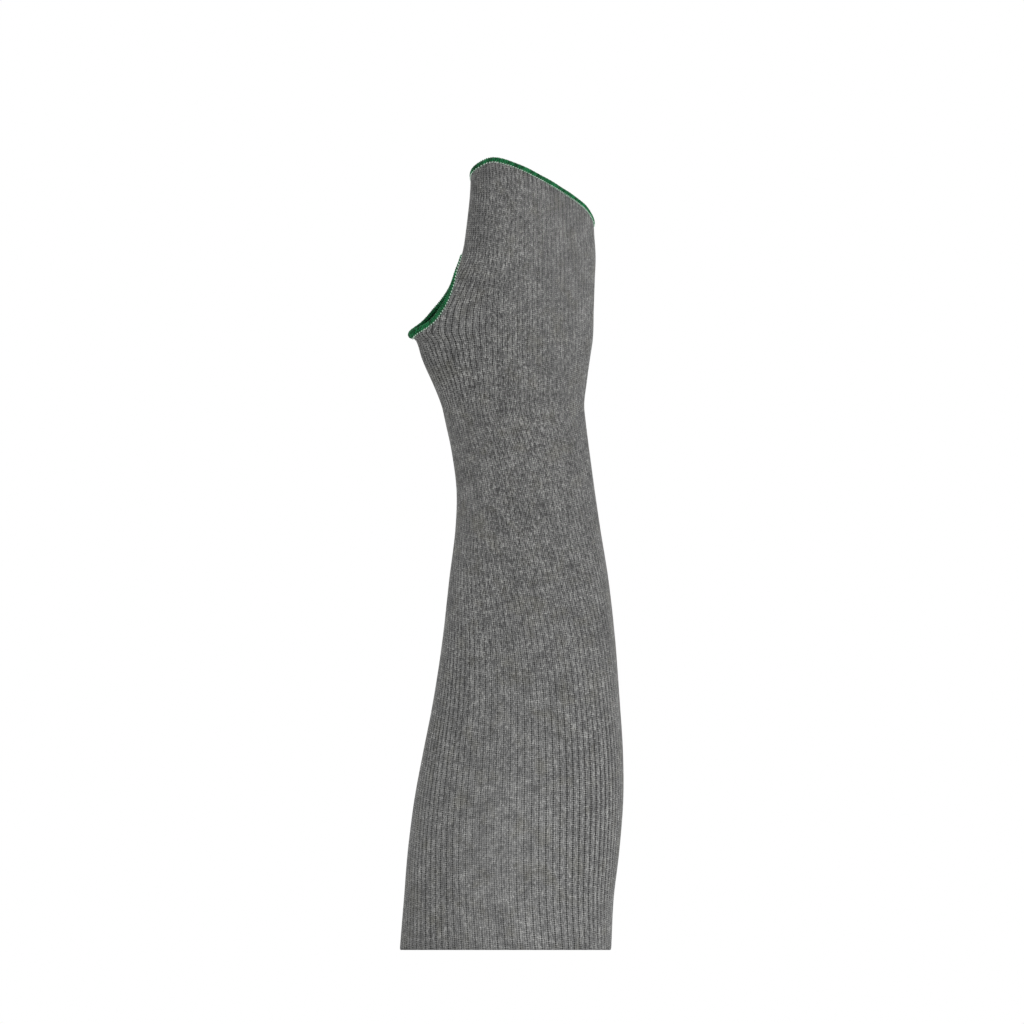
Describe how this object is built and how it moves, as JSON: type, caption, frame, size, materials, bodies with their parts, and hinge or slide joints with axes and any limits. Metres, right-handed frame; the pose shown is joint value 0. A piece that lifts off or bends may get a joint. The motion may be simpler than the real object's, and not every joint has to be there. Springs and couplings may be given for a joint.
{
  "type": "cut resistant sleeve",
  "caption": "Seamless rib-knit cut resistant sleeve in its worn shape: a tube from forearm to knuckles, open at both ends, with an overlocked finger opening and an overlocked thumb hole.",
  "frame": {"origin": "middle of the arm opening, where the forearm enters", "axes": "+Z from the arm opening to the finger opening, -Y to the front where the back of the hand shows, -X to the thumb side"},
  "size_m": [0.1005, 0.084, 0.3559],
  "materials": {
    "knit": "grey heather rib knit, matte",
    "edging_thread": "green overlock thread, matte"
  },
  "bodies": {
    "root": {"sleeve_body": "knit", "finger_edge": "edging_thread", "thumb_edge": "edging_thread"}
  },
  "joints": []
}
